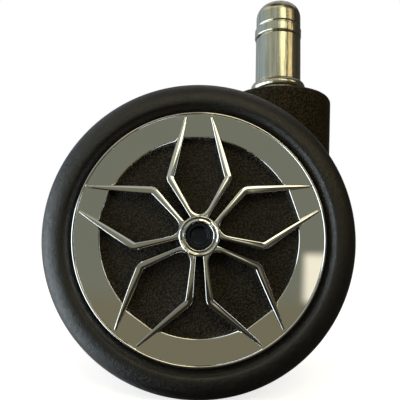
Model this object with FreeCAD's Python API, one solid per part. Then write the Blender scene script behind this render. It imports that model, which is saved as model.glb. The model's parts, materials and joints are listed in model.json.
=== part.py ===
import FreeCAD, Part
import math
import os

from FreeCAD import Vector

# Twin-wheel swivel caster for an office chair, in millimetres.
# Origin: on the swivel axis, at the shoulder where the stem leaves its collar.
# +Z points up the stem. The wheel axle runs along Y and trails towards -X.

# ---- driving dimensions -------------------------------------------------------
WHEEL_RADIUS = 30.0
WHEEL_PLANE = 19.05         # middle of each wheel, from the caster's middle plane
TYRE_HALF_WIDTH = 6.2
TRAIL = 18.6                # swivel axis to axle
AXLE_DROP = 39.7            # stem shoulder to axle
AXLE_RADIUS = 3.0
RUNNING_GAP = 0.06          # radial clearance of every shaft in its bush

STEM_RADIUS = 5.5
STEM_HEAD_RADIUS = 5.45
STEM_HEIGHT = 19.8
STEM_HEAD_CORNER = 3.6      # rounding between the head's side and its top
STEM_CROWN = 0.25           # rise of the top above that rounding
DOME_FLAT = 0.6             # radius of the small flat on the stem's tip
STEM_COLLAR_RADIUS = 6.6
STEM_COLLAR_BEAD = 1.5      # height of the collar's rounded upper edge
STEM_COLLAR_BOTTOM = -5.0
SHANK_RADIUS = 5.0
SHANK_BOTTOM = -28.0
SHANK_TAPER = 1.6
GRIP_GROOVE = (10.2, 13.4)
GRIP_RING = (10.5, 12.7)
GRIP_RING_RADIUS = 5.72
GRIP_RING_CROWN = 0.25
GROOVE_DEPTH = 0.8
RETAINING_GROOVE = (-16.8, -15.4)
RETAINING_RING_RADIUS = 5.9

NECK_RADIUS = 12.5
NECK_BOTTOM_RADIUS = 11.9
NECK_TOP = -5.4
NECK_BOTTOM = -36.5
NECK_EDGE = 1.4
NECK_FOOT = 3.0

# Heights in the neck's bore.
BUSH_RADIUS = 6.4
BUSH_FLANGE_RADIUS = 8.0
COLLAR_WASHER = (-5.7, -5.1)
COLLAR_WASHER_RADIUS = 6.5
BUSH_FLANGE = (-6.7, -5.7)
UPPER_BUSH_BOTTOM = -13.0
LOWER_BUSH = (-27.5, -19.0)
SHANK_END_BORE = (5.3, -28.6)   # radius and bottom of the bore around the stem's end
BALL_BORE = (3.0, -34.2)        # radius and bottom of the pocket under it
BALL_RADIUS = 2.95

HOOD_RADIUS = 27.2
HOOD_WALL = 2.0
HOOD_HALF_WIDTH = 11.0
HOOD_EDGE = 1.2             # rounding of the hood's two long edges
HOOD_ANGLES = (70, 206)     # about the axle: 0 is towards the stem, 90 is up, 180 is behind
INNER_HOOP = (16.8, 15.2)   # outer and inner radius of the smaller hoop under the hood
WEB_FIRST_ANGLE = 32
WEB_INNER_RADIUS = 2.0
WEB_HALF_WIDTH = 2.0
RIB_WALL = 1.6
RIB_INSET = 2.0             # ribs and inner hoop stop this far inside the hood's edges
RIB_FIRST_ANGLE = 95
RIB_STEP = 27
TIE_HALF_WIDTH = 6.0        # solid block that joins the neck's foot to the axle boss
TIE_HEIGHTS = (-2.4, 6.0)   # from the axle
TIE_FRONT = -2.0
TIE_EDGE = 1.5              # rounding of the block's long edges
BOSS_RADIUS = 6.8
BOSS_HALF_WIDTH = 10.3
BOSS_CHAMFER = 0.6

# Stations along the axle, measured outwards from the caster's middle plane.
INNER_WASHER = (10.3, 11.3)
WHEEL_BUSH_FLANGE = (11.5, 12.3)
HUB_END = 19.6
OUTER_WASHER = (19.75, 20.35)
CLIP_GROOVE = (20.5, 21.1)
CLIP_GROOVE_DEPTH = 0.6
CLIP_RADIUS = 4.8
CLIP_OPENING = 3.6
AXLE_END = 21.7
AXLE_CHAMFER = 0.4
DISC_BACK = 22.0
DISC_FACE = 23.6
RING_FACE = 25.0
RING_LIP = 25.5

INNER_WASHER_RADIUS = 6.2
OUTER_WASHER_RADIUS = 5.4
WHEEL_BUSH_RADIUS = 4.4
WHEEL_BUSH_FLANGE_RADIUS = 5.8
HUB_RADIUS = 7.2
RIM_RADIUS = 23.6
RIM_WALL = 2.2
TYRE_CREST_RADIUS = 25.7
TYRE_BORE_RADIUS = 23.85    # mouth of the tyre around the chrome ring
TREAD_CROWN = 0.08          # the tread's middle stands this proud of its edges
TREAD_HALF_WIDTH = 1.6
KEY_RADIUS = 25.0           # rim rib that the tyre is moulded over
KEY_HALF_WIDTH = 1.2
CORE_WEB = (17.4, 19.2)     # the wheel centre's web, along the axle
CORE_INSET = 1.3            # the rim stops this far inside the tyre's inner face
CORE_RIB_INSET = 2.1        # its ribs stop this far inside
CORE_RIB_WALL = 1.4
CORE_RIBS = 12
CORE_HOOP = (15.0, 13.6)
DISC_SKIRT = (21.1, 20.4)
DISC_SKIRT_DEPTH = 1.3

RING_OUTER_RADIUS = 23.5
RING_INNER_RADIUS = 18.25
PETALS = 5
REST_TURN = 1.7             # turn of the spoke pattern with the wheel at rest, degrees
SPOKE_START = (3.6, 19.5)   # radius, and angle from the petal's middle line
SPOKE_KNEE = (11.8, 27.0)
SPOKE_TIP = (22.4, 6.2)
SPOKE_WIDTHS = (0.95, 1.4, 0.35)
SPOKE_TOPS = (27.0, 26.3, 25.7, 25.35)  # at the collar, knee, ring's inner edge and tip
COLLAR_RADIUS = 3.75
COLLAR_TOP = 27.6
COLLAR_FOOT = 0.4           # the collar's foot stands this far outside its neck
PLUG_RADIUS = 2.25
PLUG_STEM_RADIUS = 1.9
PLUG_DISH = (1.45, 26.2)    # radius and height of the plug's round recess
PEG_RADIUS = 0.9
PEG_CIRCLE = 19.6
PEG_BACK = 20.8


# ---- helpers ------------------------------------------------------------------
def outline(start, *steps):
    """Closed wire of (radius, height) points: one point is a line, two are an arc through the first."""
    edges = []
    here = Vector(start[0], 0, start[1])
    for step in steps:
        points = [Vector(p[0], 0, p[1]) for p in step]
        if len(points) == 1:
            edges.append(Part.LineSegment(here, points[0]).toShape())
        else:
            edges.append(Part.Arc(here, points[0], points[1]).toShape())
        here = points[-1]
    first = Vector(start[0], 0, start[1])
    if here.distanceToPoint(first) > 1e-6:
        edges.append(Part.LineSegment(here, first).toShape())
    return Part.Wire(edges)


def turned(start, *steps):
    """Solid of revolution about Z."""
    return Part.Face(outline(start, *steps)).revolve(Vector(), Vector(0, 0, 1), 360)


def tube(outer, inner, low, high):
    """Plain round tube about Z."""
    return turned((inner, low), [(outer, low)], [(outer, high)], [(inner, high)])


def rod(radius, low, high):
    """Plain round rod about Z."""
    return Part.makeCylinder(radius, high - low, Vector(0, 0, low))


def block(x, y, z):
    """Box between two corners, each given as (low, high) pairs."""
    return Part.makeBox(x[1] - x[0], y[1] - y[0], z[1] - z[0], Vector(x[0], y[0], z[0]))


def polar(radius, degrees):
    """Point in the plane across Z."""
    return Vector(radius * math.cos(math.radians(degrees)), radius * math.sin(math.radians(degrees)), 0)


def moved(shape, placement):
    """Copy of a shape at a placement."""
    copy = shape.copy()
    copy.Placement = placement.multiply(copy.Placement)
    return copy


def at_axle(shape, rear=False):
    """From axle coordinates (Z outwards, origin on the middle plane) to the caster."""
    tip_over = FreeCAD.Placement(Vector(), FreeCAD.Rotation(Vector(1, 0, 0), 90))
    turn = FreeCAD.Placement(Vector(), FreeCAD.Rotation(Vector(0, 0, 1), 180 if rear else 0))
    to_axle = FreeCAD.Placement(Vector(-TRAIL, 0, -AXLE_DROP), FreeCAD.Rotation())
    return moved(shape, to_axle.multiply(turn).multiply(tip_over))


def slit(width, low, high, degrees):
    """Radial slot, from the axis outwards, that opens a ring into a C."""
    reach = 2 * STEM_RADIUS
    cutter = block((0, reach), (-width / 2, width / 2), (low - 1, high + 1))
    cutter.rotate(Vector(), Vector(0, 0, 1), degrees)
    return cutter


def quarter(centre, radius, first):
    """Middle and end of a quarter circle in an outline, from an angle in degrees, turning left."""
    angles = [math.radians(first + turn) for turn in (45, 90)]
    return [(centre[0] + radius * math.cos(a), centre[1] + radius * math.sin(a)) for a in angles]


# ---- stem and its rings -------------------------------------------------------
def stem():
    """Steel pin: domed head, groove, shank, collar, and a thinner tail that turns in the neck."""
    low_groove, high_groove = RETAINING_GROOVE
    head_centre = (STEM_HEAD_RADIUS - STEM_HEAD_CORNER, STEM_HEIGHT - STEM_CROWN - STEM_HEAD_CORNER)
    head_edge = 0.3
    bead = STEM_COLLAR_RADIUS - STEM_RADIUS
    return turned(
        (0, SHANK_BOTTOM),
        [(SHANK_RADIUS - SHANK_TAPER, SHANK_BOTTOM)],
        [(SHANK_RADIUS, SHANK_BOTTOM + SHANK_TAPER)],
        [(SHANK_RADIUS, low_groove)],
        [(SHANK_RADIUS - GROOVE_DEPTH, low_groove)],
        [(SHANK_RADIUS - GROOVE_DEPTH, high_groove)],
        [(SHANK_RADIUS, high_groove)],
        [(SHANK_RADIUS, STEM_COLLAR_BOTTOM)],
        [(STEM_COLLAR_RADIUS, STEM_COLLAR_BOTTOM)],
        [(STEM_COLLAR_RADIUS, -STEM_COLLAR_BEAD)],
        [(STEM_COLLAR_RADIUS - 0.29 * bead, -0.29 * STEM_COLLAR_BEAD), (STEM_RADIUS, 0)],
        [(STEM_RADIUS, GRIP_GROOVE[0])],
        [(STEM_RADIUS - GROOVE_DEPTH, GRIP_GROOVE[0])],
        [(STEM_RADIUS - GROOVE_DEPTH, GRIP_GROOVE[1])],
        [(STEM_HEAD_RADIUS - head_edge, GRIP_GROOVE[1])],
        [(STEM_HEAD_RADIUS, GRIP_GROOVE[1] + head_edge)],
        [(STEM_HEAD_RADIUS, head_centre[1])],
        quarter(head_centre, STEM_HEAD_CORNER, 0),
        [(DOME_FLAT, STEM_HEIGHT)],
        [(0, STEM_HEIGHT)],
    )


def grip_ring():
    """Spring steel C-ring that holds the stem in the chair's socket."""
    low, high = GRIP_RING
    inner = STEM_RADIUS - GROOVE_DEPTH + 0.15
    edge = GRIP_RING_RADIUS - GRIP_RING_CROWN
    ring = turned(
        (inner, low),
        [(edge, low)],
        [(GRIP_RING_RADIUS, (low + high) / 2), (edge, high)],
        [(inner, high)],
    )
    return ring.cut(slit(1.2, low, high, 150))


def stem_retaining_ring():
    """C-ring on the tail, between the two bushes, that keeps the stem in the neck."""
    low, high = RETAINING_GROOVE
    play = 0.1
    ring = tube(RETAINING_RING_RADIUS, SHANK_RADIUS - GROOVE_DEPTH + play, low + play, high - play)
    return ring.cut(slit(2.0, low, high, 30))


# ---- housing ------------------------------------------------------------------
def neck():
    """Round upright sleeve with softly rounded top and bottom edges."""
    foot_centre = (NECK_BOTTOM_RADIUS - NECK_FOOT, NECK_BOTTOM + NECK_FOOT)
    edge_centre = (NECK_RADIUS - NECK_EDGE, NECK_TOP - NECK_EDGE)
    return turned(
        (0, NECK_BOTTOM),
        [(foot_centre[0], NECK_BOTTOM)],
        quarter(foot_centre, NECK_FOOT, -90),
        [(NECK_RADIUS, edge_centre[1])],
        quarter(edge_centre, NECK_EDGE, 0),
        [(0, NECK_TOP)],
    )


def hood_sector(outer, inner, half_width, first, last, edge=0.2):
    """Part of a ring about the axle, between two angles, with rounded outer edges, in the caster's frame."""
    face = Part.Face(outline(
        (inner, -half_width),
        [(outer - edge, -half_width)],
        quarter((outer - edge, edge - half_width), edge, -90),
        [(outer, half_width - edge)],
        quarter((outer - edge, half_width - edge), edge, 0),
        [(inner, half_width)],
    ))
    sector = face.revolve(Vector(), Vector(0, 0, 1), last - first)
    sector.rotate(Vector(), Vector(0, 0, 1), first)
    return at_axle(sector)


def housing():
    """Nylon body: neck, hood between the wheels, web, ribs and axle boss."""
    first, last = HOOD_ANGLES
    inner_half = HOOD_HALF_WIDTH - RIB_INSET
    into_hood = HOOD_RADIUS - HOOD_WALL / 2
    body = neck()
    hood = hood_sector(HOOD_RADIUS, HOOD_RADIUS - HOOD_WALL, HOOD_HALF_WIDTH, first, last, HOOD_EDGE)
    body = body.fuse(hood)
    body = body.fuse(hood_sector(into_hood, WEB_INNER_RADIUS, WEB_HALF_WIDTH, WEB_FIRST_ANGLE, last))
    body = body.fuse(hood_sector(*INNER_HOOP, inner_half, first, last))
    for angle in range(RIB_FIRST_ANGLE, last, RIB_STEP):
        rib = block((BOSS_RADIUS - 1, into_hood), (-RIB_WALL / 2, RIB_WALL / 2), (-inner_half, inner_half))
        rib.rotate(Vector(), Vector(0, 0, 1), angle)
        body = body.fuse(at_axle(rib))
    tie_bottom, tie_top = [height - AXLE_DROP for height in TIE_HEIGHTS]
    tie = block((-TRAIL, TIE_FRONT), (-TIE_HALF_WIDTH, TIE_HALF_WIDTH), (tie_bottom, tie_top))
    along = [edge for edge in tie.Edges if abs(edge.tangentAt(edge.FirstParameter).x) > 0.9]
    body = body.fuse(tie.makeFillet(TIE_EDGE, along))
    boss_end, boss_tip = BOSS_HALF_WIDTH, BOSS_RADIUS - BOSS_CHAMFER
    boss = turned(
        (0, -boss_end), [(boss_tip, -boss_end)], [(BOSS_RADIUS, BOSS_CHAMFER - boss_end)],
        [(BOSS_RADIUS, boss_end - BOSS_CHAMFER)], [(boss_tip, boss_end)], [(0, boss_end)])
    body = body.fuse(at_axle(boss))
    body = body.cut(at_axle(rod(AXLE_RADIUS, -BOSS_HALF_WIDTH - 1, BOSS_HALF_WIDTH + 1)))
    body = body.cut(rod(BUSH_RADIUS, LOWER_BUSH[0], NECK_TOP + 1))
    body = body.cut(rod(BUSH_FLANGE_RADIUS, BUSH_FLANGE[0], NECK_TOP + 1))
    for radius, bottom in (SHANK_END_BORE, BALL_BORE):
        body = body.cut(rod(radius, bottom, LOWER_BUSH[0] + 1))
    return body.removeSplitter()


def swivel_bush_upper():
    """Flanged bush under the stem's collar."""
    inner = SHANK_RADIUS + RUNNING_GAP
    low, high = BUSH_FLANGE
    return turned(
        (inner, UPPER_BUSH_BOTTOM), [(BUSH_RADIUS, UPPER_BUSH_BOTTOM)], [(BUSH_RADIUS, low)],
        [(BUSH_FLANGE_RADIUS, low)], [(BUSH_FLANGE_RADIUS, high)], [(inner, high)])


def swivel_bush_lower():
    """Plain bush near the tail's end."""
    return tube(BUSH_RADIUS, SHANK_RADIUS + RUNNING_GAP, *LOWER_BUSH)


def collar_washer():
    """Steel washer between the stem's collar and the upper bush."""
    return tube(COLLAR_WASHER_RADIUS, SHANK_RADIUS + 0.15, *COLLAR_WASHER)


def thrust_ball():
    """Steel ball in the bottom of the bore, under the tail's end."""
    return Part.makeSphere(BALL_RADIUS, Vector(0, 0, SHANK_BOTTOM - 0.1 - BALL_RADIUS))


# ---- axle and what it carries -------------------------------------------------
def axle():
    """Steel pin pressed through the boss, with a clip groove at each end."""
    tip = AXLE_RADIUS - AXLE_CHAMFER
    shoulder = AXLE_END - AXLE_CHAMFER
    pin = turned(
        (0, -AXLE_END), [(tip, -AXLE_END)], [(AXLE_RADIUS, -shoulder)],
        [(AXLE_RADIUS, shoulder)], [(tip, AXLE_END)], [(0, AXLE_END)])
    groove = tube(AXLE_RADIUS + 1, AXLE_RADIUS - CLIP_GROOVE_DEPTH, *CLIP_GROOVE)
    mirrored = groove.mirror(Vector(), Vector(0, 0, 1))
    return at_axle(pin.cut(groove).cut(mirrored))


def inner_washer():
    """Nylon washer between the boss and the wheel bush."""
    return tube(INNER_WASHER_RADIUS, AXLE_RADIUS + 0.1, *INNER_WASHER)


def outer_washer():
    """Steel washer outside the wheel's hub."""
    return tube(OUTER_WASHER_RADIUS, AXLE_RADIUS + 0.1, *OUTER_WASHER)


def axle_clip():
    """E-clip that keeps the wheel on the axle."""
    low, high = CLIP_GROOVE
    play = 0.05
    ring = tube(CLIP_RADIUS, AXLE_RADIUS - CLIP_GROOVE_DEPTH + play, low + play, high - play)
    clip = ring.cut(slit(CLIP_OPENING, low, high, 270))
    for angle in (60, 120):
        relief = Part.makeCylinder(0.7, high - low + 2, polar(3.4, angle) + Vector(0, 0, low - 1))
        clip = clip.cut(relief)
    return clip


# ---- wheel --------------------------------------------------------------------
def tyre():
    """Polyurethane tyre with a round shoulder on each side, moulded over the rim's key."""
    mid = WHEEL_PLANE
    inner, outer = mid - TYRE_HALF_WIDTH, mid + TYRE_HALF_WIDTH
    edge = WHEEL_RADIUS - TREAD_CROWN
    diagonal = math.sqrt(0.5)

    def shoulder_point(sign):
        radius = TYRE_CREST_RADIUS + (edge - TYRE_CREST_RADIUS) * diagonal
        return (radius, mid + sign * (TREAD_HALF_WIDTH + (TYRE_HALF_WIDTH - TREAD_HALF_WIDTH) * diagonal))

    return turned(
        (RIM_RADIUS, inner + CORE_INSET),
        [(TYRE_CREST_RADIUS - 1.2, inner + 0.35), (TYRE_CREST_RADIUS, inner)],
        [shoulder_point(-1), (edge, mid - TREAD_HALF_WIDTH)],
        [(WHEEL_RADIUS, mid), (edge, mid + TREAD_HALF_WIDTH)],
        [shoulder_point(1), (TYRE_CREST_RADIUS, outer)],
        [(TYRE_CREST_RADIUS - 1.25, outer - 0.4), (TYRE_BORE_RADIUS, outer - 1.5)],
        [(TYRE_BORE_RADIUS, DISC_FACE)],
        [(RIM_RADIUS, DISC_FACE)],
        [(RIM_RADIUS, mid + KEY_HALF_WIDTH)],
        [(KEY_RADIUS, mid + KEY_HALF_WIDTH)],
        [(KEY_RADIUS, mid - KEY_HALF_WIDTH)],
        [(RIM_RADIUS, mid - KEY_HALF_WIDTH)],
    )


def core():
    """Moulded wheel centre: rim with tyre key, web, two rings of pockets, hub."""
    mid = WHEEL_PLANE
    inner_face = mid - TYRE_HALF_WIDTH + CORE_INSET
    rib_face = mid - TYRE_HALF_WIDTH + CORE_RIB_INSET
    rim_end = DISC_BACK - 0.1
    rim_inner = RIM_RADIUS - RIM_WALL
    overlap = 0.6
    body = turned(
        (rim_inner, inner_face), [(RIM_RADIUS, inner_face)], [(RIM_RADIUS, mid - KEY_HALF_WIDTH)],
        [(KEY_RADIUS, mid - KEY_HALF_WIDTH)], [(KEY_RADIUS, mid + KEY_HALF_WIDTH)],
        [(RIM_RADIUS, mid + KEY_HALF_WIDTH)], [(RIM_RADIUS, rim_end)], [(rim_inner, rim_end)])
    body = body.fuse(tube(rim_inner + overlap, HUB_RADIUS - overlap, *CORE_WEB))
    body = body.fuse(tube(HUB_RADIUS, WHEEL_BUSH_RADIUS, WHEEL_BUSH_FLANGE[1], HUB_END))
    body = body.fuse(tube(*CORE_HOOP, rib_face, CORE_WEB[1]))
    for index in range(CORE_RIBS):
        rib = block((HUB_RADIUS - overlap, rim_inner + overlap), (-CORE_RIB_WALL / 2, CORE_RIB_WALL / 2),
                    (rib_face, CORE_WEB[1]))
        rib.rotate(Vector(), Vector(0, 0, 1), 360 / CORE_RIBS * index)
        body = body.fuse(rib)
    return body.removeSplitter()


def wheel_bush():
    """Flanged hub bush that turns on the axle."""
    inner = AXLE_RADIUS + RUNNING_GAP
    low, high = WHEEL_BUSH_FLANGE
    return turned(
        (inner, low), [(WHEEL_BUSH_FLANGE_RADIUS, low)], [(WHEEL_BUSH_FLANGE_RADIUS, high)],
        [(WHEEL_BUSH_RADIUS, high)],
        [(WHEEL_BUSH_RADIUS, HUB_END)], [(inner, HUB_END)])


def peg_places():
    """Angles of the trim's pegs, midway between petals."""
    return [90 + REST_TURN + 360 / PETALS * (index + 0.5) for index in range(PETALS)]


def backing_disc():
    """Grained black cover behind the spokes, with a skirt that locates in the rim."""
    play = 0.05
    disc = tube(RIM_RADIUS - 0.3, PLUG_STEM_RADIUS + play, DISC_BACK, DISC_FACE)
    disc = disc.fuse(tube(*DISC_SKIRT, DISC_BACK - DISC_SKIRT_DEPTH, DISC_BACK + 0.4))
    for angle in peg_places():
        hole = rod(PEG_RADIUS + play, DISC_BACK - DISC_SKIRT_DEPTH - 1, DISC_FACE + 1)
        hole.translate(polar(PEG_CIRCLE, angle))
        disc = disc.cut(hole)
    return disc.removeSplitter()


def spoke_outline(petal, side):
    """Flat outline of one bar: from the hub, round its knee, to its point on the ring."""
    stations = [polar(radius, petal + side * spread)
                for radius, spread in (SPOKE_START, SPOKE_KNEE, SPOKE_TIP)]
    along = [(b - a).normalize() for a, b in zip(stations, stations[1:])]
    normals = [Vector(-d.y, d.x, 0) for d in along]
    mitre = (normals[0] + normals[1]).normalize()
    across = [normals[0], mitre * (1 / mitre.dot(normals[0])), normals[1]]
    left = [p + n * (w / 2) for p, n, w in zip(stations, across, SPOKE_WIDTHS)]
    right = [p - n * (w / 2) for p, n, w in zip(stations, across, SPOKE_WIDTHS)]
    return left + right[::-1] + left[:1]


def spokes():
    """Ten bars whose tops fall from the hub to the ring."""
    reach = SPOKE_TIP[0] + 0.2
    radii = (COLLAR_RADIUS, SPOKE_KNEE[0], RING_INNER_RADIUS, reach)
    tops = [[point] for point in zip(radii, SPOKE_TOPS)]
    envelope = turned((0, DISC_FACE), [(0, SPOKE_TOPS[0])], *tops, [(reach, DISC_FACE)])
    bars = []
    for index in range(PETALS):
        for side in (-1, 1):
            flat = Part.Face(Part.makePolygon(spoke_outline(90 + REST_TURN + 360 / PETALS * index, side)))
            bar = flat.extrude(Vector(0, 0, COLLAR_TOP - DISC_FACE))
            bar.translate(Vector(0, 0, DISC_FACE))
            bars.append(bar.common(envelope))
    return bars


def trim():
    """Chrome trim: ring with a raised lip, hub collar, ten spokes and five pegs."""
    lip_edge = 0.3
    lip_slope = 0.55
    inner_bevel = 0.4
    ring = turned(
        (RING_INNER_RADIUS, DISC_FACE),
        [(RING_OUTER_RADIUS, DISC_FACE)],
        [(RING_OUTER_RADIUS, RING_LIP - lip_edge)],
        quarter((RING_OUTER_RADIUS - lip_edge, RING_LIP - lip_edge), lip_edge, 0),
        [(RING_OUTER_RADIUS - lip_slope, RING_FACE)],
        [(RING_INNER_RADIUS + inner_bevel, RING_FACE)],
        [(RING_INNER_RADIUS, RING_FACE - inner_bevel)],
    )
    bore = PLUG_RADIUS + 0.05
    bead = (COLLAR_RADIUS - bore) / 2
    collar = turned(
        (bore, DISC_FACE),
        [(COLLAR_RADIUS + COLLAR_FOOT, DISC_FACE)],
        [(COLLAR_RADIUS, COLLAR_TOP - bead)],
        [(COLLAR_RADIUS - bead, COLLAR_TOP), (bore, COLLAR_TOP - bead)],
    )
    body = ring.fuse([collar] + spokes())
    for angle in peg_places():
        peg = rod(PEG_RADIUS, PEG_BACK, DISC_FACE + 0.4)
        peg.translate(polar(PEG_CIRCLE, angle))
        body = body.fuse(peg)
    return body.removeSplitter()


def hub_plug():
    """Glossy push plug with a dished face, through the collar and the backing disc."""
    dish_radius, dish_height = PLUG_DISH
    edge = 0.2
    rim_top = COLLAR_TOP - (COLLAR_RADIUS - PLUG_RADIUS) / 2
    return turned(
        (0, DISC_BACK + 0.1),
        [(PLUG_STEM_RADIUS, DISC_BACK + 0.1)],
        [(PLUG_STEM_RADIUS, DISC_FACE)],
        [(PLUG_RADIUS, DISC_FACE)],
        [(PLUG_RADIUS, rim_top - edge)],
        quarter((PLUG_RADIUS - edge, rim_top - edge), edge, 0),
        [(dish_radius + edge, rim_top - edge / 2)],
        [(dish_radius, dish_height)],
        [(0, dish_height)],
    )


# ---- writing ------------------------------------------------------------------
def pieces():
    """Every node's name and solid, in the caster's frame."""
    made = {
        "stem": stem(),
        "grip_ring": grip_ring(),
        "stem_retaining_ring": stem_retaining_ring(),
        "housing": housing(),
        "swivel_bush_upper": swivel_bush_upper(),
        "swivel_bush_lower": swivel_bush_lower(),
        "collar_washer": collar_washer(),
        "thrust_ball": thrust_ball(),
        "axle": axle(),
    }
    per_side = {
        "inner_washer": inner_washer(),
        "outer_washer": outer_washer(),
        "axle_clip": axle_clip(),
        "tyre": tyre(),
        "wheel_core": core(),
        "wheel_bush": wheel_bush(),
        "backing_disc": backing_disc(),
        "trim": trim(),
        "hub_plug": hub_plug(),
    }
    for side in ("front", "rear"):
        for name, shape in per_side.items():
            made[side + "_" + name] = at_axle(shape, rear=side == "rear")
    return made


def main():
    os.makedirs("parts", exist_ok=True)
    for name, shape in pieces().items():
        shape.exportStep("parts/" + name + ".step")
        print(name, shape.isValid(), len(shape.Solids), round(shape.Volume, 1))


main()
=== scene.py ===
import json
import math

import bmesh
import bpy
from mathutils import Matrix, Vector, noise


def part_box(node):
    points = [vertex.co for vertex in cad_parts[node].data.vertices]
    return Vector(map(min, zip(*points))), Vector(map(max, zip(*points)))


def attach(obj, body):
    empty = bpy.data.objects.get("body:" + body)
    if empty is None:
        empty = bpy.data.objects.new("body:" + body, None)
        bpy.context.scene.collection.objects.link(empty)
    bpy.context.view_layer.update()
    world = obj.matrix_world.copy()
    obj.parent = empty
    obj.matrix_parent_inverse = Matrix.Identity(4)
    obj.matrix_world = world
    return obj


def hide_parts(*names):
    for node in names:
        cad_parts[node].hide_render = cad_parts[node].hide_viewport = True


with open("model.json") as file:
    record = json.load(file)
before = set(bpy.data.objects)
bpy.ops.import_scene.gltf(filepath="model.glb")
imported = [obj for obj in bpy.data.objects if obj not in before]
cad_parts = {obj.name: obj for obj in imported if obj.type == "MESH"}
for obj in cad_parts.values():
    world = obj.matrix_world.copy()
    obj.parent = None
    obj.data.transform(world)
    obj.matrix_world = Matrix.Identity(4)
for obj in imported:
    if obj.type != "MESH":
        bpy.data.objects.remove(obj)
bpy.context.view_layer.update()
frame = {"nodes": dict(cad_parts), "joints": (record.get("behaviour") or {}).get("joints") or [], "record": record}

MM = 0.001
SIDES = ("front", "rear")

# In metres, from the frame.
JOINTS = {joint["name"]: joint for joint in frame["joints"]}
AXLE = Vector(JOINTS["front_wheel_spin"]["pos_m"])
WHEEL_RADIUS = (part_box("front_tyre")[1].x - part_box("front_tyre")[0].x) / 2
GROUND = AXLE.z - WHEEL_RADIUS

# Wheel, in mm. Places along the axle count outwards from the caster's middle plane.
TYRE_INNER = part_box("rear_tyre")[0].y / MM
TYRE_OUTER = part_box("rear_tyre")[1].y / MM
DISC_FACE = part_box("rear_backing_disc")[1].y / MM
COLLAR_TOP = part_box("rear_trim")[1].y / MM
COLLAR_RADIUS = 3.68
PLUG_RADIUS = 2.36
RING_OUTER = (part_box("rear_trim")[1].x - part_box("rear_trim")[0].x) / 2 / MM
RING_FACE = DISC_FACE + 1.4
RING_INNER = 18.3
RING_CHORD = 18.45              # the ring's edge inside a petal is straight, this far from the axle
RING_EDGE_BAND = 0.6            # only outline points this close to the inner edge follow the chord

# Petals: each is a pair of bars. Start, knee and tip: (radius, degrees from the petal's middle line).
PETALS = 5
REST_TURN = 1.7                 # degrees by which the first petal leans from upright
SPOKE_START = (3.2, 18.2)
SPOKE_KNEE = (11.8, 27.0)
SPOKE_TIP = (22.4, 6.2)
SPOKE_AT_RING = 12.8            # degrees from the middle line where the bar meets the ring
ROOT_WIDTH, KNEE_WIDTH, TIP_WIDTH = 0.76, 1.26, 0.42
FLARE = 1.15                    # extra width at a bar's root

# Stem, in mm.
STEM_RADIUS = 5.5
STEM_FOOT = -28.0
SHANK_RADIUS = 5.0
HEAD_RADIUS = 5.45
STEM_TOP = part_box("stem")[1].z / MM
FLAT_TOP = STEM_TOP - 0.22      # the dome's tip is flattened
COLLAR_BOTTOM = -5.0
STEM_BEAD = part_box("stem")[1].x / MM - 0.02
GROOVE_RADIUS, GROOVE_LOW, GROOVE_HIGH = 5.22, 10.4, 13.3


# ---- shapes -------------------------------------------------------------------
def filleted(points, steps=5):
    """Closed outline through (radius, height, fillet) points, with every fillet as an arc."""
    out = []
    count = len(points)
    for index, (radius, height, fillet) in enumerate(points):
        here = Vector((radius, height))
        if fillet <= 0:
            out.append(here)
            continue
        before = Vector(points[index - 1][:2]) - here
        after = Vector(points[(index + 1) % count][:2]) - here
        half = before.angle(after) / 2
        reach = fillet / math.tan(half)
        centre = here + (before.normalized() + after.normalized()).normalized() * (fillet / math.sin(half))
        first = here + before.normalized() * reach - centre
        last = here + after.normalized() * reach - centre
        sweep = first.angle_signed(last)
        for step in range(steps + 1):
            out.append(centre + Matrix.Rotation(-sweep * step / steps, 2) @ first)
    return [(point.x, point.y) for point in out]


def add_lathe(bm, profile, matrix, segments=192, radius_at=None):
    """Closed ring of a (radius, height) outline in mm, turned about local Z.

    Points on the axis become one vertex. radius_at can change the radius by angle.
    """
    def place(radius, height, turn):
        if radius_at is not None:
            radius = radius_at(radius, math.degrees(turn))
        spot = Vector((radius * math.cos(turn), radius * math.sin(turn), height))
        return bm.verts.new(matrix @ (spot * MM))

    rings = []
    for radius, height in profile:
        if radius < 1e-6:
            rings.append([place(0, height, 0)])
            continue
        rings.append([place(radius, height, 2 * math.pi * step / segments) for step in range(segments)])
    for low, high in zip(rings, rings[1:] + rings[:1]):
        if len(low) == 1 and len(high) == 1:
            continue
        for step in range(segments):
            after = (step + 1) % segments
            corners = [low[step % len(low)], low[after % len(low)],
                       high[after % len(high)], high[step % len(high)]]
            bm.faces.new(list(dict.fromkeys(corners)))


def skin_sections(bm, sections):
    """Join closed cross-sections into one bar with flat ends."""
    for near, far in zip(sections, sections[1:]):
        for corner in range(len(near)):
            after = (corner + 1) % len(near)
            bm.faces.new([near[corner], near[after], far[after], far[corner]])
    bm.faces.new(sections[0][::-1])
    bm.faces.new(sections[-1])


def finish_mesh(bm, name, slot, body, replaced, sharp):
    """Turn a bmesh into a shaded piece that rides on a body and stands for a CAD node."""
    bmesh.ops.recalc_face_normals(bm, faces=bm.faces)
    mesh = bpy.data.meshes.new(name)
    bm.to_mesh(mesh)
    bm.free()
    mesh.shade_smooth()
    mesh.set_sharp_from_angle(angle=math.radians(sharp))
    mesh.materials.append(MATERIALS[slot])
    piece = bpy.data.objects.new(name, mesh)
    bpy.context.scene.collection.objects.link(piece)
    smooth = piece.modifiers.new("even_normals", "WEIGHTED_NORMAL")
    smooth.keep_sharp = True
    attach(piece, body)
    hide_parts(replaced)


def wheel_matrix(side):
    """From wheel coordinates (Z outwards along the axle) to the frame's."""
    turn = Matrix.Rotation(math.pi if side == "rear" else 0, 4, "Z")
    return Matrix.Translation(AXLE) @ turn @ Matrix.Rotation(math.pi / 2, 4, "X")


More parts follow.
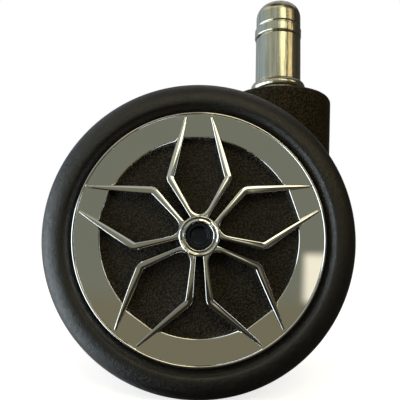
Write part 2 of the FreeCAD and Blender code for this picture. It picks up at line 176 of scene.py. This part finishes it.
# ---- materials ----------------------------------------------------------------
class Graph:
    """Adds and links nodes in one node tree."""

    def __init__(self, tree):
        self.tree = tree

    def add(self, kind, values=None, **settings):
        node = self.tree.nodes.new(kind)
        for key, value in settings.items():
            setattr(node, key, value)
        for key, value in (values or {}).items():
            node.inputs[key].default_value = value
        return node

    def link(self, source, target):
        self.tree.links.new(source, target)


class Surface(Graph):
    """One procedural material around a Principled shader."""

    def __init__(self, name):
        self.material = bpy.data.materials.new(name)
        self.material.use_nodes = True
        super().__init__(self.material.node_tree)
        self.shader = self.tree.nodes["Principled BSDF"]

    def noise(self, scale, detail=3.0, roughness=0.55, stretch=(1, 1, 1)):
        coords = self.add("ShaderNodeTexCoord")
        mapping = self.add("ShaderNodeMapping", {"Scale": stretch})
        self.link(coords.outputs["Object"], mapping.inputs["Vector"])
        texture = self.add("ShaderNodeTexNoise", {"Scale": scale, "Detail": detail, "Roughness": roughness})
        self.link(mapping.outputs["Vector"], texture.inputs["Vector"])
        return texture.outputs["Fac"]

    def cells(self, scale):
        coords = self.add("ShaderNodeTexCoord")
        texture = self.add("ShaderNodeTexVoronoi", {"Scale": scale})
        self.link(coords.outputs["Object"], texture.inputs["Vector"])
        return texture.outputs["Distance"]

    def remap(self, value, low, high, to_low, to_high):
        node = self.add("ShaderNodeMapRange",
                        {"From Min": low, "From Max": high, "To Min": to_low, "To Max": to_high})
        self.link(value, node.inputs["Value"])
        return node.outputs["Result"]

    def blend(self, factor, first, second):
        node = self.add("ShaderNodeMix", data_type="RGBA")
        node.inputs[6].default_value = (*first, 1)
        node.inputs[7].default_value = (*second, 1)
        self.link(factor, node.inputs["Factor"])
        return node.outputs[2]

    def bump(self, height, distance, strength, below=None):
        node = self.add("ShaderNodeBump", {"Strength": strength, "Distance": distance})
        self.link(height, node.inputs["Height"])
        if below is not None:
            self.link(below, node.inputs["Normal"])
        return node.outputs["Normal"]

    def set(self, **values):
        for key, value in values.items():
            target = self.shader.inputs[key.replace("_", " ")]
            if isinstance(value, bpy.types.NodeSocket):
                self.link(value, target)
            else:
                target.default_value = value
        return self.material


def tyre_rubber():
    look = Surface("tyre_rubber")
    cloud = look.noise(240, 6, 0.7)
    mottle = look.noise(1300, 4, 0.65)
    grain = look.noise(4200, 3)
    patchy = look.remap(cloud, 0.35, 0.65, 0, 1)
    return look.set(Base_Color=look.blend(patchy, (0.0042, 0.0038, 0.0032), (0.0075, 0.0067, 0.0055)),
                    Roughness=look.remap(mottle, 0.32, 0.68, 0.30, 0.52), Specular_IOR_Level=0.68,
                    Normal=look.bump(grain, 0.0001, 0.7, look.bump(mottle, 0.00012, 0.8)))


def chrome():
    look = Surface("trim_chrome")
    haze = look.noise(70, 3)
    return look.set(Base_Color=look.blend(haze, (0.83, 0.82, 0.79), (0.77, 0.765, 0.74)), Metallic=1.0,
                    Roughness=look.remap(haze, 0.35, 0.7, 0.02, 0.05))


def disc_plastic():
    look = Surface("disc_plastic")
    pebble = look.cells(2900)
    fine = look.noise(5200, 3)
    broad = look.noise(140, 3)
    pebbly = look.remap(pebble, 0.1, 0.6, 0, 1)
    return look.set(Base_Color=look.blend(pebbly, (0.046, 0.0340, 0.0165), (0.0030, 0.0024, 0.0014)),
                    Roughness=look.remap(broad, 0.3, 0.7, 0.42, 0.52), Specular_IOR_Level=0.24,
                    Normal=look.bump(fine, 0.00006, 0.7, look.bump(pebble, 0.00016, 0.9)))


def gloss_plug():
    look = Surface("plug_plastic")
    cloud = look.noise(300, 3)
    return look.set(Base_Color=look.blend(cloud, (0.004, 0.007, 0.012), (0.008, 0.013, 0.020)),
                    Roughness=look.remap(cloud, 0.3, 0.7, 0.10, 0.2), Specular_IOR_Level=0.3)


def nylon(name):
    look = Surface(name)
    speck = look.cells(2900)
    grain = look.noise(3600, 3)
    specks = look.remap(speck, 0.12, 0.6, 0, 1)
    return look.set(Base_Color=look.blend(specks, (0.0560, 0.0420, 0.0215), (0.0080, 0.0062, 0.0034)),
                    Roughness=look.remap(grain, 0.3, 0.7, 0.42, 0.58), Specular_IOR_Level=0.09,
                    Normal=look.bump(grain, 0.00006, 0.6, look.bump(speck, 0.00011, 0.8)))


def plated_steel(name, light, dark):
    """Drawn steel: fine streaks along Z, faint pits and a patchy sheen."""
    look = Surface(name)
    drawn = look.noise(1500, 4, 0.6, (1, 1, 0.05))
    pits = look.noise(2600, 3, 0.6)
    cloud = look.noise(260, 4, 0.6, (1, 1, 0.3))
    return look.set(Base_Color=look.blend(look.remap(drawn, 0.38, 0.66, 0, 1), light, dark), Metallic=1.0,
                    Roughness=look.remap(cloud, 0.3, 0.7, 0.14, 0.24),
                    Normal=look.bump(pits, 0.00001, 0.5, look.bump(drawn, 0.00007, 0.8)))


def acetal():
    look = Surface("bush_plastic")
    cloud = look.noise(400, 3)
    return look.set(Base_Color=look.blend(cloud, (0.72, 0.71, 0.66), (0.62, 0.60, 0.55)),
                    Roughness=look.remap(cloud, 0.3, 0.7, 0.35, 0.5), Subsurface_Weight=0.1)


MATERIALS = {
    "tyre": tyre_rubber(),
    "trim_chrome": chrome(),
    "disc_plastic": disc_plastic(),
    "plug_plastic": gloss_plug(),
    "housing_nylon": nylon("housing_nylon"),
    "core_plastic": nylon("core_plastic"),
    "stem_steel": plated_steel("stem_steel", (0.70, 0.67, 0.54), (0.45, 0.45, 0.38)),
    "ring_steel": plated_steel("ring_steel", (0.70, 0.68, 0.56), (0.50, 0.49, 0.42)),
    "plain_steel": plated_steel("plain_steel", (0.62, 0.62, 0.61), (0.46, 0.46, 0.46)),
    "bush_plastic": acetal(),
}


def dress_cad_nodes():
    """Give every CAD node its slot's material."""
    for part in frame["record"]["subparts"]:
        node = frame["nodes"][part["node"]]
        node.data.materials.clear()
        node.data.materials.append(MATERIALS[part["material_slot"]])


# ---- chrome trim --------------------------------------------------------------
def spoke_section(width, low, high):
    """Cross-section of a bar, as (across, height) pairs: drafted sides, bevelled shoulders, rounded top."""
    half = width / 2
    draft = 0.15 * (high - low)
    bevel = min(0.085, 0.24 * width)
    crown = 0.06 * width
    flat = half - bevel
    edge = high - crown
    right = [(half + draft, low), (half, edge - bevel), (half - bevel / 2, edge - 0.42 * bevel),
             (flat, edge), (0.5 * flat, high - 0.25 * crown)]
    return [(-across, height) for across, height in right] + [(0, high)] + right[::-1]


def spoke_height(radius):
    """Place of a bar's top along the axle, by radius: it falls a little faster towards the bar's tip."""
    start, reach, top, drop = 3.7, 18.7, 27.25, 1.95
    return top - drop * max(0, (radius - start) / reach) ** 1.15


def spoke_width(part, along):
    """Width of a bar, and the flare at its root, where along runs from 0 to 1 over each part."""
    if part == "inner":
        flare = FLARE * max(0, 1 - along * 3.4) ** 3
        return ROOT_WIDTH + (KNEE_WIDTH - ROOT_WIDTH) * along ** 1.5, flare
    if part == "outer":
        return KNEE_WIDTH - (KNEE_WIDTH - TIP_WIDTH) * along ** 1.7, 0
    return KNEE_WIDTH, 0


def spoke_path(start, knee, tip):
    """Stations along a bar as (point, sideways direction, part, along): inner leg, bend, outer leg."""
    bend, inner_steps, bend_steps, outer_steps = 1.4, 24, 8, 16
    first, second = (knee - start).normalized(), (tip - knee).normalized()
    turn = math.atan2(first.cross(second), first.dot(second))
    reach = bend * math.tan(abs(turn) / 2)
    left = Vector((-first.y, first.x))
    hand = math.copysign(1, turn)
    enter, leave = knee - first * reach, knee + second * reach
    centre = enter + left * (hand * bend)
    stations = [(start.lerp(enter, step / inner_steps), left, "inner", step / inner_steps)
                for step in range(inner_steps)]
    for step in range(bend_steps + 1):
        across = Matrix.Rotation(turn * step / bend_steps, 2) @ left
        stations.append((centre - across * (hand * bend), across, "bend", step / bend_steps))
    last = Vector((-second.y, second.x))
    stations += [(leave.lerp(tip, step / outer_steps), last, "outer", step / outer_steps)
                 for step in range(1, outer_steps + 1)]
    return stations


def add_spoke(bm, matrix, petal, hand):
    """One tapered bar with a knee, flared into a web on its petal's side, ending bluntly above the ring."""
    def at(radius, spread):
        angle = math.radians(petal + hand * spread)
        return Vector((radius * math.cos(angle), radius * math.sin(angle)))

    sections = []
    for point, across, part, along in spoke_path(at(*SPOKE_START), at(*SPOKE_KNEE), at(*SPOKE_TIP)):
        width, flare = spoke_width(part, along)
        section = []
        for offset, height in spoke_section(width + flare, DISC_FACE, spoke_height(point.length)):
            spot = point + across * (offset - hand * flare / 2)
            section.append(bm.verts.new(matrix @ Vector((spot.x * MM, spot.y * MM, height * MM))))
        sections.append(section)
    skin_sections(bm, sections)


def ring_radius(radius, turn):
    """Move the ring's inner edge outwards, onto a straight chord, inside each petal."""
    if radius > RING_INNER + RING_EDGE_BAND:
        return radius
    spacing = 360 / PETALS
    offset = abs((turn - 90 - REST_TURN + spacing / 2) % spacing - spacing / 2)
    change = 1.8                # degrees over which the round edge steps to the chord, under a bar
    inside = min(max((SPOKE_AT_RING + change / 2 - offset) / change, 0), 1)
    return radius + (RING_CHORD / math.cos(math.radians(offset)) - RING_INNER) * inside


def cast_radius(radius, turn):
    """Slight unevenness of the cast collar, so that its highlights break up."""
    spot = Matrix.Rotation(math.radians(turn), 2) @ Vector((radius, 0))
    return radius + 0.06 * noise.noise(Vector((spot.x * 2.4, spot.y * 2.4, radius * 3)))


def ring_outline():
    """Flat ring with a half-round bead as its outer lip and a rounded inner edge."""
    bead, lift = 0.26, 0.15
    bead_radius = RING_OUTER - bead - 0.09
    bead_height = RING_FACE + lift - bead
    lip = [(bead_radius + bead * math.cos(turn), bead_height + bead * math.sin(turn), 0)
           for turn in (math.radians(12 * step) for step in range(15))]
    return filleted([
        (RING_INNER - 0.38, DISC_FACE, 0), (RING_OUTER, DISC_FACE, 0), (RING_OUTER, RING_FACE - 0.6, 0.05),
        *lip, (bead_radius - bead - 0.03, RING_FACE, 0), (RING_INNER, RING_FACE, 0.24)])


def collar_outline():
    """Collar around the plug: a wide foot, a waist and a rounded top that dips towards its bore."""
    bore = PLUG_RADIUS + 0.04
    return filleted([
        (bore, DISC_FACE, 0), (COLLAR_RADIUS + 0.75, DISC_FACE, 0.1),
        (COLLAR_RADIUS + 0.12, DISC_FACE + 2.1, 0.9), (COLLAR_RADIUS, COLLAR_TOP - 0.12, 0.3),
        (COLLAR_RADIUS - 0.3, COLLAR_TOP, 0.2), (COLLAR_RADIUS - 0.62, COLLAR_TOP - 0.2, 0.4),
        (bore + 0.22, COLLAR_TOP - 0.04, 0.2), (bore, COLLAR_TOP - 0.35, 0.1)])


def make_trim(side):
    """Chrome trim: outer ring, ten bars in five petals, and the collar."""
    bm = bmesh.new()
    matrix = wheel_matrix(side)
    add_lathe(bm, ring_outline(), matrix, 360, ring_radius)
    add_lathe(bm, collar_outline(), matrix, 160, cast_radius)
    for index in range(PETALS):
        for hand in (-1, 1):
            add_spoke(bm, matrix, 90 + REST_TURN + 360 / PETALS * index, hand)
    finish_mesh(bm, side + "_trim_chrome", "trim_chrome", side + "_wheel", side + "_trim", 24)


# ---- other wheel pieces -------------------------------------------------------
def make_plug(side):
    """Push plug: glossy rim around a round recess."""
    bm = bmesh.new()
    foot, foot_radius = DISC_FACE - 1.0, 1.9
    top = COLLAR_TOP - 0.62
    profile = filleted([
        (0, foot, 0), (foot_radius, foot, 0.1), (foot_radius, DISC_FACE, 0), (PLUG_RADIUS, DISC_FACE, 0),
        (PLUG_RADIUS, top, 0.18), (1.75, top + 0.04, 0.16), (1.58, top - 0.75, 0.25), (0, top - 0.9, 0)])
    add_lathe(bm, profile, wheel_matrix(side), 96)
    finish_mesh(bm, side + "_hub_cap", "plug_plastic", side + "_wheel", side + "_hub_plug", 40)


def make_tyre(side):
    """Tyre: round shoulders, a soft lip around the chrome ring, and a fine mould line on the tread."""
    bm = bmesh.new()
    middle = (TYRE_INNER + TYRE_OUTER) / 2
    half = TYRE_OUTER - middle
    tread = WHEEL_RADIUS / MM
    crest, bore, rim = 25.7, 23.86, 23.6
    flat, power, steps = 1.5, 0.94, 14

    def shoulder(sign):
        """Quarter of a superellipse from the crest to the tread."""
        points = []
        for step in range(steps + 1):
            turn = math.pi / 2 * step / steps
            radius = crest + (tread - 0.08 - crest) * math.sin(turn) ** power
            points.append((radius, middle + sign * (flat + (half - flat) * math.cos(turn) ** power), 0))
        return points

    seam = [(tread - fall, middle + across, 0) for fall, across in
            ((0.07, 0.32), (0.05, 0.14), (0, 0.06), (0, -0.06), (0.05, -0.14), (0.07, -0.32))]
    lip = [(rim, middle, 0), (rim, DISC_FACE, 0), (bore, DISC_FACE, 0), (bore, TYRE_OUTER - 1.55, 0.08),
           (crest - 1.2, TYRE_OUTER - 0.7, 1.2), (crest - 0.6, TYRE_OUTER - 0.12, 0.8)]
    back = [(crest - 0.7, TYRE_INNER + 0.06, 0.6), (crest - 1.5, TYRE_INNER + 0.5, 0.5),
            (rim, TYRE_INNER + 1.3, 0.2), (rim, middle - 2, 0)]
    profile = filleted(lip + shoulder(1) + seam + shoulder(-1)[::-1] + back)
    add_lathe(bm, profile, wheel_matrix(side), 288)
    finish_mesh(bm, side + "_tyre_rubber", "tyre", side + "_wheel", side + "_tyre", 50)


# ---- stem ---------------------------------------------------------------------
def make_stem():
    """Turned pin: domed head, ring groove, shank, and a rounded collar with a fine seam above it."""
    bm = bmesh.new()
    bead_radius, bead_middle, bead_rise = 5.45, -2.3, 1.3
    bead_width = STEM_BEAD - bead_radius
    bead = [(bead_radius + bead_width * math.cos(turn), bead_middle + bead_rise * math.sin(turn), 0)
            for turn in (math.radians(8 * step - 56) for step in range(19))]
    seam = bead_middle + bead_rise
    shank = [(0, STEM_FOOT, 0), (3.4, STEM_FOOT, 0.3), (SHANK_RADIUS, STEM_FOOT + 1.6, 0.3),
             (SHANK_RADIUS, COLLAR_BOTTOM, 0.1)]
    groove = [(STEM_RADIUS, GROOVE_LOW - 0.1, 0.2), (GROOVE_RADIUS, GROOVE_LOW, 0.1),
              (GROOVE_RADIUS, GROOVE_HIGH, 0.1)]
    head = [(HEAD_RADIUS, GROOVE_HIGH + 0.15, 0.35), (HEAD_RADIUS, STEM_TOP - 0.35, 3.6),
            (0.7, FLAT_TOP, 0.4), (0, FLAT_TOP, 0)]
    profile = filleted([
        *shank, (bead[0][0], COLLAR_BOTTOM, 0.2), *bead, (STEM_RADIUS - 0.1, seam + 0.06, 0.03),
        (STEM_RADIUS, seam + 0.18, 0.05), *groove, *head], 10)
    add_lathe(bm, profile, Matrix.Identity(4))
    finish_mesh(bm, "stem_pin", "stem_steel", "stem", "stem", 40)


def make_grip_ring():
    """Sprung C-ring, sitting a little off centre and tilted in its groove, with rounded edges and a gap."""
    bm = bmesh.new()
    low, high, outer, inner = 10.6, 12.9, 5.7, 5.26
    outline = filleted([(inner, low, 0.08), (outer, low, 0.3), (outer, high, 0.3), (inner, high, 0.08)], 6)
    middle = (low + high) / 2 * MM
    off_centre, tilt = -0.09 * MM, math.radians(1.4)
    place = (Matrix.Translation((off_centre, 0, middle)) @ Matrix.Rotation(tilt, 4, "Y")
             @ Matrix.Translation((0, 0, -middle)))
    gap, gap_middle, steps = 12, 150, 160
    sections = []
    for step in range(steps + 1):
        turn = math.radians(gap_middle + gap / 2 + (360 - gap) * step / steps)
        sections.append([
            bm.verts.new(place @ (Vector((radius * math.cos(turn), radius * math.sin(turn), height)) * MM))
            for radius, height in outline])
    skin_sections(bm, sections)
    finish_mesh(bm, "stem_grip_ring", "ring_steel", "stem", "grip_ring", 40)


def make_pieces():
    make_stem()
    make_grip_ring()
    for side in SIDES:
        make_trim(side)
        make_plug(side)
        make_tyre(side)


# ---- stage, light and camera --------------------------------------------------
# Soft-edged panels of the room that light the object and show in its chrome, by direction from the object.
# Azimuth 0 is the camera's side and grows towards +X; both angles are in degrees.
PANELS = [
    # azimuth from, to, elevation from, to, soft edge, colour; a later panel covers an earlier one
    (-180, 180, 45, 90, 10.0, (0.055, 0.055, 0.05)),        # ceiling
    (-180, 180, -90, -8, 4.0, (0.200, 0.184, 0.120)),       # floor, near
    (-180, 180, -90, -17.5, 3.0, (0.025, 0.022, 0.017)),    # floor, far
    (-74, -3, 19, 40, 3.0, (0.43, 0.45, 0.39)),             # wall at the front left
    (-160, -78, 15, 60, 6.0, (0.40, 0.47, 0.55)),           # wall at the back left
    (-110, 40, 44, 54, 4.0, (0.90, 0.76, 0.52)),            # high softbox
    (-160, -108, -54, 11, 6.0, (0.46, 0.48, 0.49)),         # reflector at the back left
    (-112, -42, -43, 11, 5.0, (2.7, 3.05, 3.25)),           # large softbox at the left
    (-180, -160, -20, 60, 5.0, (0.32, 0.32, 0.30)),         # wall behind
    (150, 180, -20, 60, 5.0, (0.32, 0.32, 0.30)),           # wall behind
    (22, 140, -60, 60, 4.0, (0.055, 0.050, 0.040)),         # dark side of the room
    (2, 27, 21, 40, 2.5, (2.2, 2.05, 1.35)),                # softbox at the front right
    (46, 60, 14, 37, 2.5, (1.7, 1.35, 0.75)),               # strip light at the right
    (14.2, 17.2, -5.4, -1, 1.4, (1.1, 1.03, 0.84)),         # small softbox beside the camera
]
WALL_COLOUR = (0.195, 0.203, 0.160)


def make_floor():
    bm = bmesh.new()
    size = 3.0
    height = GROUND - 0.02 * MM
    corners = [bm.verts.new((x * size, y * size, height)) for x, y in ((-1, -1), (1, -1), (1, 1), (-1, 1))]
    bm.faces.new(corners)
    mesh = bpy.data.meshes.new("floor")
    bm.to_mesh(mesh)
    bm.free()
    look = Surface("floor_paint")
    cloud = look.noise(3, 3)
    mesh.materials.append(look.set(
        Base_Color=look.blend(cloud, (0.90, 0.90, 0.90), (0.86, 0.86, 0.86)), Roughness=0.6,
        Emission_Color=(1, 1, 1, 1), Emission_Strength=0.75))
    floor = bpy.data.objects.new("floor", mesh)
    bpy.context.scene.collection.objects.link(floor)
    floor.visible_diffuse = False
    floor.visible_glossy = False


class Room(Graph):
    """World nodes that colour each direction of the room."""

    def __init__(self, world):
        world.use_nodes = True
        super().__init__(world.node_tree)
        self.tree.nodes.clear()
        coords = self.add("ShaderNodeTexCoord")
        split = self.add("ShaderNodeSeparateXYZ")
        self.link(coords.outputs["Generated"], split.inputs[0])
        x, y, z = split.outputs
        away = self.math("MULTIPLY", y, -1.0)
        self.azimuth = self.math("DEGREES", self.math("ARCTAN2", x, away))
        self.elevation = self.math("DEGREES", self.math("ARCSINE", z))

    def math(self, operation, first, second=None):
        """A math node on sockets or numbers."""
        node = self.add("ShaderNodeMath", operation=operation)
        for socket, value in zip(node.inputs, (first, second)):
            if isinstance(value, bpy.types.NodeSocket):
                self.link(value, socket)
            elif value is not None:
                socket.default_value = value
        return node.outputs[0]

    def span(self, angle, low, high, soft):
        """1 between low and high, fading over soft degrees outside."""
        rise = self.add("ShaderNodeMapRange", {"From Min": low - soft, "From Max": low},
                        interpolation_type="SMOOTHSTEP")
        fall = self.add("ShaderNodeMapRange", {"From Min": high + soft, "From Max": high},
                        interpolation_type="SMOOTHSTEP")
        self.link(angle, rise.inputs[0])
        self.link(angle, fall.inputs[0])
        return self.math("MULTIPLY", rise.outputs[0], fall.outputs[0])

    def cover(self, colour, mask, tint):
        """Lay a tint over a colour where the mask is 1."""
        over = self.add("ShaderNodeMix", data_type="RGBA")
        self.link(mask, over.inputs["Factor"])
        self.link(colour, over.inputs[6])
        over.inputs[7].default_value = (*tint, 1)
        return over.outputs[2]

    def walls_and_panels(self):
        base = self.add("ShaderNodeRGB")
        base.outputs[0].default_value = (*WALL_COLOUR, 1)
        colour = base.outputs[0]
        for left, right, low, high, soft, tint in PANELS:
            mask = self.math("MULTIPLY", self.span(self.azimuth, left, right, soft),
                             self.span(self.elevation, low, high, soft))
            colour = self.cover(colour, mask, tint)
        return colour


def make_world():
    """White where the camera sees past the object; a grey room for its light and reflections."""
    world = bpy.data.worlds.new("studio")
    bpy.context.scene.world = world
    room = Room(world)
    light = room.add("ShaderNodeBackground")
    room.link(room.walls_and_panels(), light.inputs["Color"])
    backdrop = room.add("ShaderNodeBackground", {"Color": (1, 1, 1, 1), "Strength": 1.0})
    path = room.add("ShaderNodeLightPath")
    mix = room.add("ShaderNodeMixShader")
    room.link(path.outputs["Is Camera Ray"], mix.inputs[0])
    room.link(light.outputs[0], mix.inputs[1])
    room.link(backdrop.outputs[0], mix.inputs[2])
    output = room.add("ShaderNodeOutputWorld")
    room.link(mix.outputs[0], output.inputs[0])


def make_light(name, place, size, watts, colour):
    """Square area light, aimed at the axle."""
    data = bpy.data.lights.new(name, "AREA")
    data.shape = "RECTANGLE"
    data.size, data.size_y = size, size
    data.energy = watts
    data.color = colour
    light = bpy.data.objects.new(name, data)
    light.location = place
    light.rotation_mode = "QUATERNION"
    light.rotation_quaternion = (Vector(place) - AXLE).to_track_quat("Z", "Y")
    bpy.context.scene.collection.objects.link(light)
    return light


def make_lights():
    make_light("top_softbox", (0.10, 0.15, 0.60), 0.6, 0.4, (1.0, 0.99, 0.97))
    fill = make_light("front_fill", (0.0, -0.25, 0.15), 0.15, 0.3, (1.0, 0.90, 0.64))
    fill.visible_glossy = False


def make_camera():
    """Near camera in front of the wheel, looking slightly up, leaning a little."""
    distance, sideways, height = 106.9, -19.16, -42.0
    pitch, yaw, roll = 6.25, 0.36, 1.6
    focal_pixels, picture_width = 446.6, 400
    data = bpy.data.cameras.new("camera")
    data.sensor_width = 36
    data.lens = focal_pixels / picture_width * data.sensor_width
    data.clip_start, data.clip_end = 0.005, 50
    camera = bpy.data.objects.new("camera", data)
    camera.location = (sideways * MM, -distance * MM, height * MM)
    look = Matrix.Rotation(math.radians(-yaw), 4, "Z") @ Matrix.Rotation(math.radians(90 + pitch), 4, "X")
    camera.rotation_mode = "QUATERNION"
    camera.rotation_quaternion = (look @ Matrix.Rotation(math.radians(roll), 4, "Z")).to_quaternion()
    bpy.context.scene.collection.objects.link(camera)
    bpy.context.scene.camera = camera


bpy.context.scene.view_settings.view_transform = "Standard"
make_camera()
dress_cad_nodes()
make_pieces()
make_floor()
make_world()
make_lights()
